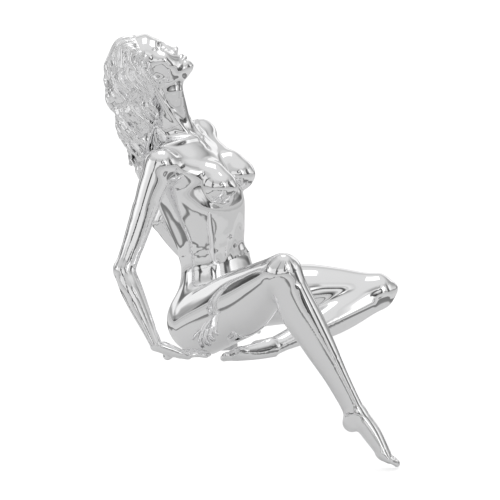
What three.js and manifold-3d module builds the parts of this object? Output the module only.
// Seated full body display mannequin in polished chrome, leaning back on both hands.
// Millimetres, +Z up. The origin is on the seat plane, under the middle of the pelvis.
// The figure faces -Y, and her left is +X.
import * as THREE from 'three';
import { LoftGeometry } from 'three/addons/geometries/LoftGeometry.js';
import { mergeVertices } from 'three/addons/utils/BufferGeometryUtils.js';
import Module from 'manifold-3d';

const wasm = await Module();
wasm.setup();

// ---------------------------------------------------------------- driving dimensions
const WALL = 5;             // thickness of the hollow shells
const FACE_WALL = 7;        // thickness of the flat closing wall at each joint
const GAP = 0.3;            // clearance between touching pieces
const SKIN_CLEARANCE = 1;   // space between the hair, or an arm, and the skin beside it
const SMOOTHING = 1.5;      // how far joined surfaces may move when small facets are merged
const SLIVER = 0.1;         // the same for the slivers that the cuts leave
const SIDES = 10;           // sides of a limb's section
const CAVITY_SIDES = 8;     // sides of the section of the hollow inside it
const FINGER_SIDES = 6;     // sides of a finger's section
const ROUND_SIDES = 16;     // sides of a disc, and of the bore that it sits in
const CUT_REACH = 260;      // size of the blocks that trim a piece at a joint plane

// joints of the body
const PELVIS = [0, 0, 90];
const WAIST = [4, 29, 234];
const CHEST = [-19, 72, 402];
const UPPER_CHEST = [-40, 107, 524];
const NECK_BASE = [-51, 119, 578];
const NECK_TOP = [-92, 152, 716];
const SKULL = [-124, 190, 770];

const HIP = { right: [-90, 0, 82], left: [74, 6, 118] };
const KNEE = { right: [-206, -383, 268], left: [310, -294, 150] };
const ANKLE = { right: [-84, -528, -102], left: [-14, -186, 24] };
const HEEL = { right: [-94, -520, -130], left: [-34, -154, 22] };
const BALL = { right: [-38, -587, -214], left: [-128, -156, 18] };
const TOE = { right: [-14, -614, -242], left: [-178, -148, 12] };

const SHOULDER = { right: [-188, 56, 514], left: [100, 163, 564] };
const ELBOW = { right: [-295, 91, 238], left: [52, 265, 322] };
const WRIST = { right: [-301, -27, 51], left: [156, 142, 130] };
const FINGERTIP = { right: [-150, -90, 8], left: [236, 66, 10] };

// limb sections: [place along the limb, front, back, outer, inner radius]
const THIGH = {
  right: [
    [0, 78, 92, 86, 74], [0.25, 80, 98, 84, 78], [0.5, 76, 100, 76, 72],
    [0.75, 62, 74, 60, 58], [0.92, 53, 52, 52, 51], [1, 50, 46, 50, 49],
  ],
  left: [
    [0, 80, 92, 68, 80], [0.25, 82, 92, 62, 94], [0.5, 76, 84, 62, 94],
    [0.75, 62, 64, 54, 73], [0.92, 52, 50, 50, 53], [1, 48, 46, 48, 47],
  ],
};
const SHIN = {
  right: [
    [0, 48, 44, 47, 46], [0.12, 44, 54, 46, 45], [0.3, 43, 63, 46, 46],
    [0.5, 40, 54, 40, 40], [0.75, 34, 37, 29, 28], [0.92, 30, 30, 26, 25], [1, 28, 29, 27, 26],
  ],
  left: [
    [0, 48, 44, 48, 46], [0.12, 44, 50, 56, 42], [0.3, 40, 56, 66, 36],
    [0.5, 35, 48, 62, 26], [0.75, 27, 30, 38, 20], [0.92, 24, 24, 26, 19], [1, 25, 25, 24, 22],
  ],
};
const UPPER_ARM = [
  [0, 40, 42, 42, 38], [0.2, 37, 40, 38, 34], [0.45, 32, 33, 31, 30],
  [0.75, 29, 29, 28, 28], [1, 27, 27, 30, 29],
];
const FOREARM = [
  [0, 27, 27, 30, 29], [0.2, 28, 31, 29, 28], [0.5, 24, 28, 25, 24],
  [0.8, 18, 20, 20, 19], [1, 16, 16, 20, 20],
];
const RIBCAGE = [
  [-0.12, 76, 68, 112, 112], [0, 78, 71, 108, 108], [0.25, 102, 80, 114, 114], [0.5, 122, 90, 128, 128],
  [0.75, 108, 98, 134, 134], [0.95, 88, 92, 132, 132], [1.1, 62, 78, 104, 104],
];
const BELLY = [
  [0.0, 96, 104, 150, 150], [0.35, 94, 96, 146, 146], [0.7, 84, 80, 122, 122],
  [1, 77, 72, 109, 109], [1.15, 78, 72, 108, 108],
];
const NECK = [
  [-0.15, 52, 60, 66, 66], [0.1, 48, 52, 54, 54], [0.5, 52, 50, 49, 49], [1, 54, 52, 50, 50],
];

// plug-in fittings: centre, direction the outer piece pulls off in, disc radius, hex stud radius
const up = direction(WAIST, CHEST);
const chestFront = [0.298, -0.954, 0];
const outward = { right: [-0.941, -0.294, -0.162], left: [0.941, 0.294, 0.162] };
const JOINTS = {
  waist: joint(WAIST, up, 46, 10),
  neck: joint(mix(NECK_BASE, NECK_TOP, 0.22), direction(NECK_BASE, NECK_TOP), 32, 8),
};
for (const side of ['left', 'right']) {
  const arm = direction(SHOULDER[side], ELBOW[side]);
  const pull = unit(sum(scale(outward[side], 0.9), scale(arm, 0.35)));
  JOINTS[`${side}_shoulder`] = joint(sum(SHOULDER[side], scale(pull, -16)), pull, 24, 7);
  JOINTS[`${side}_wrist`] = joint(WRIST[side], direction(ELBOW[side], WRIST[side]), 11, 4);
  const hipCut = mix(HIP[side], KNEE[side], 0.2);
  JOINTS[`${side}_thigh`] = joint(hipCut, direction(HIP[side], KNEE[side]), 48, 10);
}
const SEAT_PLATE_R = 42;
const SEAT_PLATE_T = 12;
const SEAT_INSERT_R = 7;
const SEAT_BOLT_R = 4;
const SEAT_BOLT_CIRCLE = 26;

// ---------------------------------------------------------------- vector helpers on plain triples
function vector(p) {
  return new THREE.Vector3(p[0], p[1], p[2]);
}
function sum(a, b) {
  return a.map((v, i) => v + b[i]);
}
function scale(a, k) {
  return a.map((v) => v * k);
}
function mix(a, b, t) {
  return a.map((v, i) => v + (b[i] - v) * t);
}
function unit(a) {
  return scale(a, 1 / Math.hypot(...a));
}
function direction(a, b) {
  return unit(sum(b, scale(a, -1)));
}
function joint(centre, pull, disc, stud) {
  return { centre, pull, disc, stud };
}

// ---------------------------------------------------------------- shapes
// One section: a superellipse with its own radius towards the front, back, outer and inner side.
function section(centre, front, side, radii, power, sides) {
  const [rFront, rBack, rOuter, rInner] = radii;
  return Array.from({ length: sides }, (_, i) => {
    const angle = (2 * Math.PI * i) / sides;
    const c = Math.cos(angle);
    const s = Math.sin(angle);
    const x = Math.sign(c) * Math.abs(c) ** (2 / power) * (c > 0 ? rFront : rBack);
    const y = Math.sign(s) * Math.abs(s) ** (2 / power) * (s > 0 ? rOuter : rInner);
    return centre.clone().addScaledVector(front, x).addScaledVector(side, y);
  });
}

// A limb: sections along a straight axis, closed by a dome at each end. Returns a maker that takes an inset.
function limb(from, to, frontHint, outerHint, rows, options = {}) {
  const { power = 2, domes = [25, 25], hollow = true, sides = SIDES } = options;
  const start = vector(from);
  const axis = vector(to).sub(start);
  const along = axis.clone().normalize();
  const front = vector(frontHint).projectOnPlane(along).normalize();
  const side = along.clone().cross(front);
  const outerIsSide = side.dot(vector(outerHint)) > 0;
  const make = (inset) => {
    const count = inset > 0 ? Math.min(sides, CAVITY_SIDES) : sides;
    const ring = (row, offset, shrink) => {
      const [t, f, b, o, i] = row;
      const full = [f, b, outerIsSide ? o : i, outerIsSide ? i : o];
      const radii = full.map((r) => Math.max(r - inset, 2) * shrink);
      const centre = start.clone().addScaledVector(axis, t).addScaledVector(along, offset);
      return section(centre, front, side, radii, power, count);
    };
    const dome = (row, height, steps) => steps.map((a) => ring(row, height * Math.sin(a), Math.cos(a)));
    const first = rows[0];
    const last = rows[rows.length - 1];
    const sections = [
      ...dome(first, -(domes[0] - Math.min(inset, domes[0])), [1.4, 0.8]),
      ...rows.map((row) => ring(row, 0, 1)),
      ...dome(last, domes[1] - Math.min(inset, domes[1]), [0.8, 1.4]),
    ];
    return new LoftGeometry(sections, { closed: true, capStart: true, capEnd: true });
  };
  return { make, hollow };
}

// An ellipsoid: radii along its front, side and up directions.
function ellipsoid(centre, radii, frontHint = [0, -1, 0], upHint = [0, 0, 1], { hollow = true } = {}) {
  const upward = vector(upHint).normalize();
  const front = vector(frontHint).projectOnPlane(upward).normalize();
  const side = upward.clone().cross(front);
  const make = (inset) => {
    const basis = new THREE.Matrix4().makeBasis(front, side, upward).setPosition(vector(centre));
    const r = radii.map((v) => Math.max(v - inset, 2));
    const [around, down] = inset > 0 ? [CAVITY_SIDES, 6] : [SIDES, 8];
    return new THREE.SphereGeometry(1, around, down).rotateX(Math.PI / 2).scale(...r).applyMatrix4(basis);
  };
  return { make, hollow };
}

// ---------------------------------------------------------------- solids
function solid(geometry) {
  const bare = new THREE.BufferGeometry();
  bare.setAttribute('position', geometry.getAttribute('position'));
  bare.setIndex(geometry.index);
  const merged = mergeVertices(bare, 1e-3);
  return new wasm.Manifold(new wasm.Mesh({
    numProp: 3,
    vertProperties: Float32Array.from(merged.attributes.position.array),
    triVerts: Uint32Array.from(merged.index.array),
  }));
}
function union(shapes, inset) {
  return shapes.map((shape) => solid(shape.make(inset))).reduce((a, b) => a.add(b));
}
function grown(shape, by) {
  return { ...shape, make: (inset) => shape.make(inset - by) };
}
function solidOnly(shape) {
  return { ...shape, hollow: false };
}
function toGeometry(body) {
  const largest = body.decompose().sort((a, b) => b.volume() - a.volume())[0];
  const mesh = largest.getMesh();
  const geometry = new THREE.BufferGeometry();
  geometry.setAttribute('position', new THREE.BufferAttribute(Float32Array.from(mesh.vertProperties), 3));
  geometry.setIndex(new THREE.BufferAttribute(Uint32Array.from(mesh.triVerts), 1));
  geometry.computeVertexNormals();
  return geometry;
}
function turned(geometry, { centre, pull }) {
  const turn = new THREE.Quaternion().setFromUnitVectors(new THREE.Vector3(0, 0, 1), vector(pull));
  return geometry.applyQuaternion(turn).translate(...centre);
}
// A block on one side of a joint plane, reaching past it. Sense +1 is the pulled-off side.
function block(fitting, sense, width, past) {
  const box = new THREE.BoxGeometry(width, width, CUT_REACH).translate(0, 0, sense * (CUT_REACH / 2 - past));
  return solid(turned(box, fitting));
}
function rod(radius, low, high, sides = ROUND_SIDES) {
  const length = high - low;
  const upright = new THREE.CylinderGeometry(radius, radius, length, sides).rotateX(Math.PI / 2);
  return upright.translate(0, 0, low + length / 2);
}
function groundBlock(top) {
  return solid(new THREE.BoxGeometry(1200, 1200, 300).translate(0, 0, top - 150));
}
// One shell: shapes joined, hollowed, trimmed flat at each joint and bored for the fitting there.
function shell(shapes, ends, { boreDepth = 22, seated = false, holes = [] } = {}) {
  const cored = shapes.filter((shape) => shape.hollow);
  let outer = union(shapes, 0).simplify(SMOOTHING);
  let inner = cored.length ? union(cored, WALL).simplify(2 * SMOOTHING) : null;
  for (const [name, sense, width] of ends) {
    outer = outer.subtract(block(JOINTS[name], sense, width, GAP / 2));
    inner = inner?.subtract(block(JOINTS[name], sense, width, FACE_WALL));
  }
  if (seated) {
    outer = outer.subtract(groundBlock(0));
    inner = inner?.subtract(groundBlock(WALL));
  }
  let body = inner ? outer.subtract(inner) : outer;
  for (const [name] of ends) {
    const fitting = JOINTS[name];
    body = body.subtract(solid(turned(rod(fitting.disc + GAP, -boreDepth, boreDepth), fitting)));
  }
  return holes.reduce((rest, hole) => rest.subtract(hole), body).simplify(SLIVER);
}

// ---------------------------------------------------------------- legs
function cross(a, b) {
  return vector(a).cross(vector(b)).toArray();
}
const thighAxis = { right: direction(HIP.right, KNEE.right), left: direction(HIP.left, KNEE.left) };
const shinAxis = { right: direction(KNEE.right, ANKLE.right), left: direction(KNEE.left, ANKLE.left) };
const legOuter = {
  right: cross(shinAxis.right, thighAxis.right),
  left: cross(thighAxis.left, shinAxis.left),
};

function thigh(side, until = 1.01) {
  const rows = THIGH[side].filter((row) => row[0] < until);
  return limb(HIP[side], KNEE[side], scale(shinAxis[side], -1), legOuter[side], rows, { domes: [70, 42] });
}
function legShapes(side) {
  const foot = direction(HEEL[side], TOE[side]);
  const instepUp = scale(vector(shinAxis.right).projectOnPlane(vector(foot)).toArray(), -1);
  const top = side === 'right' ? instepUp : [0, -0.5, -0.86];
  const instep = [[0, 28, 26, 27, 26], [0.5, 30, 20, 29, 28], [1, 20, 15, 33, 32]];
  const toes = [[0, 17, 14, 34, 32], [0.6, 12, 11, 32, 31], [1, 9, 9, 25, 28]];
  return [
    thigh(side),
    limb(KNEE[side], ANKLE[side], thighAxis[side], legOuter[side], SHIN[side], { domes: [40, 22] }),
    ellipsoid(HEEL[side], [24, 24, 27], thighAxis[side], shinAxis[side]),
    limb(ANKLE[side], BALL[side], top, legOuter[side], instep, { domes: [10, 12] }),
    limb(BALL[side], TOE[side], top, legOuter[side], toes, { domes: [12, 10], hollow: false }),
  ];
}

// ---------------------------------------------------------------- arms and hands
function armShapes(side) {
  const upperArm = direction(SHOULDER[side], ELBOW[side]);
  const forearm = direction(ELBOW[side], WRIST[side]);
  return [
    limb(SHOULDER[side], ELBOW[side], forearm, outward[side], UPPER_ARM, { domes: [40, 27] }),
    limb(ELBOW[side], WRIST[side], scale(upperArm, -1), outward[side], FOREARM, { domes: [26, 12] }),
  ];
}
// The right palm lies flat on the seat, and the left hand stands on its fingers.
function handShapes(side) {
  const flat = side === 'right';
  const reach = direction(WRIST[side], FINGERTIP[side]);
  const ahead = flat ? unit([reach[0], reach[1], 0]) : reach;
  const thumbward = unit(flat ? [-ahead[1], ahead[0], 0] : [ahead[1], -ahead[0], 0]);
  const back = flat ? cross(ahead, thumbward) : cross(thumbward, ahead);
  const knuckles = sum(WRIST[side], flat ? [ahead[0] * 84, ahead[1] * 84, -34] : scale(ahead, 88));
  const at = (forward, across, lift) =>
    sum(sum(sum(knuckles, scale(ahead, forward)), scale(thumbward, across)), scale(back, lift));
  const palm = [[0, 16, 17, 21, 21], [0.35, 16, 17, 30, 28], [0.75, 14, 14, 37, 35], [1, 11, 11, 36, 33]];
  const fingers = [[25, 70, 8.5], [8.5, 78, 9], [-8.5, 72, 8.5], [-24, 56, 7.5]];
  const solidPalm = { power: 2.4, domes: [10, 12], hollow: false };
  const shapes = [limb(WRIST[side], knuckles, back, thumbward, palm, solidPalm)];
  for (const [across, length, r] of fingers) {
    const rows = [[0, r + 1, r + 1, r, r], [0.6, r, r - 1, r, r], [1, r - 2, r - 2, r - 1, r - 1]];
    const finger = { domes: [6, 7], hollow: false, sides: FINGER_SIDES };
    shapes.push(limb(at(-6, across, 0), at(length - 8, across * 1.25, -2), back, thumbward, rows, finger));
  }
  const thumb = [[0, 13, 13, 14, 14], [0.6, 10, 10, 11, 11], [1, 8, 8, 9, 9]];
  const thumbEnds = [at(-58, 20, flat ? -4 : 0), at(-8, 56, flat ? -5 : -2)];
  const solidThumb = { domes: [8, 8], hollow: false, sides: FINGER_SIDES + 2 };
  shapes.push(limb(...thumbEnds, back, thumbward, thumb, solidThumb));
  return shapes;
}

// ---------------------------------------------------------------- head and hair
const gaze = [0.3504, -0.4175, 0.839];
const crown = [-0.5395, 0.6427, 0.545];
const inHead = (forward, upward) => sum(sum(SKULL, scale(gaze, forward)), scale(crown, upward));
const neckShape = (rows) => limb(NECK_BASE, NECK_TOP, chestFront, outward.left, rows, { domes: [30, 20] });
const headShapes = [
  neckShape(NECK),
  ellipsoid(inHead(-4, 2), [88, 72, 76], gaze, crown),
  limb(inHead(14, -8), inHead(62, -104), gaze, outward.left,
    [[0, 74, 60, 64, 64], [0.45, 50, 50, 60, 60], [0.8, 34, 40, 46, 46], [1, 24, 34, 30, 30]],
    { domes: [30, 22] }),
  ellipsoid(inHead(92, -62), [18, 11, 17], gaze, crown, { hollow: false }),
];
const hairFront = [0.643, -0.766, 0];
const hairSide = [0.766, 0.643, 0];
const hairShapes = [
  ellipsoid(inHead(-8, 8), [92, 82, 80], gaze, crown),
  limb([-146, 204, 752], [-144, 176, 640], hairFront, hairSide,
    [[0, 70, 66, 76, 90], [0.5, 70, 56, 72, 82], [1, 60, 46, 60, 74]], { domes: [20, 10] }),
  limb([-144, 176, 640], [-172, 132, 486], hairFront, hairSide,
    [[0, 58, 46, 60, 74], [0.5, 42, 34, 40, 56], [0.85, 22, 20, 24, 30], [1, 13, 11, 15, 16]],
    { domes: [20, 8] }),
];

// ---------------------------------------------------------------- trunk
const trunk = (rows) =>
  limb(WAIST, UPPER_CHEST, chestFront, outward.left, rows, { power: 2.2, domes: [20, 24] });
const belly = limb(PELVIS, WAIST, [0, -1, 0], [1, 0, 0], BELLY, { power: 2.1, domes: [60, 20] });
const inChest = (forward, leftward, upward) =>
  sum(sum(sum(CHEST, scale(chestFront, forward)), scale(outward.left, leftward)), [0, 0, upward]);
const breast = (leftward) => ellipsoid(inChest(88, leftward, 62), [50, 52, 50], chestFront);
const chestTop = (leftward, ball) => limb(ball, inChest(70, leftward, 72), [0, 0, 1], chestFront,
  [[0, 34, 34, 30, 30], [0.5, 38, 42, 34, 34], [1, 44, 44, 40, 40]], { domes: [20, 30] });
const YOKE = [
  [0, 36, 38, 34, 36], [0.25, 44, 50, 40, 60], [0.5, 40, 58, 40, 60], [0.75, 44, 50, 40, 60],
  [1, 36, 38, 34, 36],
];
const yoke = limb(SHOULDER.right, SHOULDER.left, chestFront, [0, 0, 1], YOKE, { domes: [20, 20] });
const torsoShapes = [
  trunk(RIBCAGE),
  solidOnly(belly),
  yoke,
  solidOnly(neckShape(NECK.slice(0, 3))),
  solidOnly(chestTop(-62, SHOULDER.right)),
  solidOnly(chestTop(62, SHOULDER.left)),
  solidOnly(ellipsoid(SHOULDER.right, [40, 40, 40])),
  solidOnly(ellipsoid(SHOULDER.left, [40, 40, 40])),
  solidOnly(breast(-62)),
  solidOnly(breast(62)),
];
const pelvisShapes = [
  belly,
  solidOnly(trunk(RIBCAGE.slice(0, 3))),
  solidOnly(thigh('right', 0.3)),
  solidOnly(thigh('left', 0.3)),
  ellipsoid([-74, 26, 84], [80, 84, 86]),
  ellipsoid([70, 34, 98], [80, 80, 86]),
];

// ---------------------------------------------------------------- materials
const metal = (color, roughness) => new THREE.MeshStandardMaterial({ color, metalness: 1, roughness });
const chrome = metal(0xd9dadb, 0.07);
const aluminium = metal(0xb4b6b8, 0.35);
const steel = metal(0x8f9296, 0.3);
const magnet = metal(0x56585c, 0.4);
const brass = metal(0xb99a55, 0.35);

// ---------------------------------------------------------------- assembly
const mannequin = new THREE.Group();
function addPiece(name, body, material, parent = mannequin) {
  const mesh = new THREE.Mesh(toGeometry(body), material);
  mesh.name = name;
  parent.add(mesh);
}

addPiece('head_shell', shell(headShapes, [['neck', -1, CUT_REACH]]), chrome);
const hair = union(hairShapes, 0).simplify(SMOOTHING);
const clearOf = [...headShapes, ...torsoShapes].map((shape) => grown(shape, SKIN_CLEARANCE + SMOOTHING));
addPiece('hair_shell', hair.subtract(union(clearOf, 0)).simplify(SLIVER), chrome);
const armSpace = ['left', 'right'].map((side) => {
  const space = union(armShapes(side).map((shape) => grown(shape, SKIN_CLEARANCE)), 0);
  return space.subtract(block(JOINTS[`${side}_shoulder`], -1, CUT_REACH, GAP / 2));
});
addPiece('upper_torso_shell', shell(torsoShapes, [
  ['waist', -1, 400], ['neck', 1, 160], ['left_shoulder', 1, 130], ['right_shoulder', 1, 130],
], { holes: armSpace }), chrome);
const seatHole = solid(rod(SEAT_PLATE_R + GAP, -30, 30));
addPiece('pelvis_shell', shell(pelvisShapes, [
  ['waist', 1, 400], ['left_thigh', 1, 240], ['right_thigh', 1, 240],
], { seated: true, holes: [seatHole] }), chrome);
for (const side of ['left', 'right']) {
  const arm = shell(armShapes(side), [[`${side}_shoulder`, -1, CUT_REACH], [`${side}_wrist`, 1, 120]]);
  const hand = shell(handShapes(side), [[`${side}_wrist`, -1, 120]], { boreDepth: 13, seated: true });
  const leg = shell(legShapes(side), [[`${side}_thigh`, -1, 300]], { seated: side === 'left' });
  addPiece(`${side}_arm_shell`, arm, chrome);
  addPiece(`${side}_hand`, hand, chrome);
  addPiece(`${side}_leg_shell`, leg, chrome);
}

// One plug-in fitting per joint. Its +Z is the pull direction, and z = 0 is the joint plane.
for (const [name, fitting] of Object.entries(JOINTS)) {
  const small = fitting.disc < 20;
  const plate = small ? 4 : 8;
  const magnetT = small ? 3 : 6;
  const insertion = plate + magnetT + 1;
  const nutT = small ? 3 : 7;
  const r = fitting.stud;
  const place = new THREE.Group();
  place.position.set(...fitting.centre);
  place.quaternion.setFromUnitVectors(new THREE.Vector3(0, 0, 1), vector(fitting.pull));
  mannequin.add(place);

  const hexHole = solid(rod(r + GAP, -100, 100, 6));
  const socket = solid(rod(fitting.disc, -GAP / 2 - plate, -GAP / 2)).subtract(hexHole);
  const magnetTop = -GAP / 2 - plate - GAP;
  const ring = solid(rod(fitting.disc * 0.72, magnetTop - magnetT, magnetTop, ROUND_SIDES))
    .subtract(solid(rod(r + 1, -100, 100, 12)));
  const plateTop = GAP / 2 + plate;
  const studPlate = solid(rod(fitting.disc, GAP / 2, plateTop)).subtract(hexHole);
  const shank = r * 0.7;
  const stud = solid(rod(r, -insertion, plateTop, 6))
    .add(solid(rod(shank, plateTop - 1, plateTop + nutT + 4, 12)));
  const nut = solid(rod(r * 1.5, plateTop + GAP, plateTop + GAP + nutT, 6))
    .subtract(solid(rod(shank + GAP, -100, 100, 12)));
  addPiece(`${name}_socket_disc`, socket, aluminium, place);
  addPiece(`${name}_ring_magnet`, ring, magnet, place);
  addPiece(`${name}_stud_disc`, studPlate, aluminium, place);
  addPiece(`${name}_stud`, stud, steel, place);
  addPiece(`${name}_lock_nut`, nut, steel, place);
}

// The plate that the figure is bolted down by, with threaded inserts on a bolt circle.
const inserts = [0, 1, 2].map((i) => {
  const angle = (2 * Math.PI * i) / 3 + Math.PI / 2;
  return [SEAT_BOLT_CIRCLE * Math.cos(angle), SEAT_BOLT_CIRCLE * Math.sin(angle), 0];
});
const insertHoles = inserts.map((place) => solid(rod(SEAT_INSERT_R + GAP, -30, 30, 12).translate(...place)));
const seatPlate = insertHoles.reduce((a, b) => a.subtract(b), solid(rod(SEAT_PLATE_R, 0, SEAT_PLATE_T)));
addPiece('seat_plate', seatPlate, aluminium);
inserts.forEach((place, i) => {
  const sleeve = solid(rod(SEAT_INSERT_R, 0, SEAT_PLATE_T, 12))
    .subtract(solid(rod(SEAT_BOLT_R, -30, 30, 12)));
  const spot = new THREE.Group();
  spot.position.set(...place);
  mannequin.add(spot);
  addPiece(`seat_insert_${i + 1}`, sleeve, brass, spot);
});

export default mannequin;
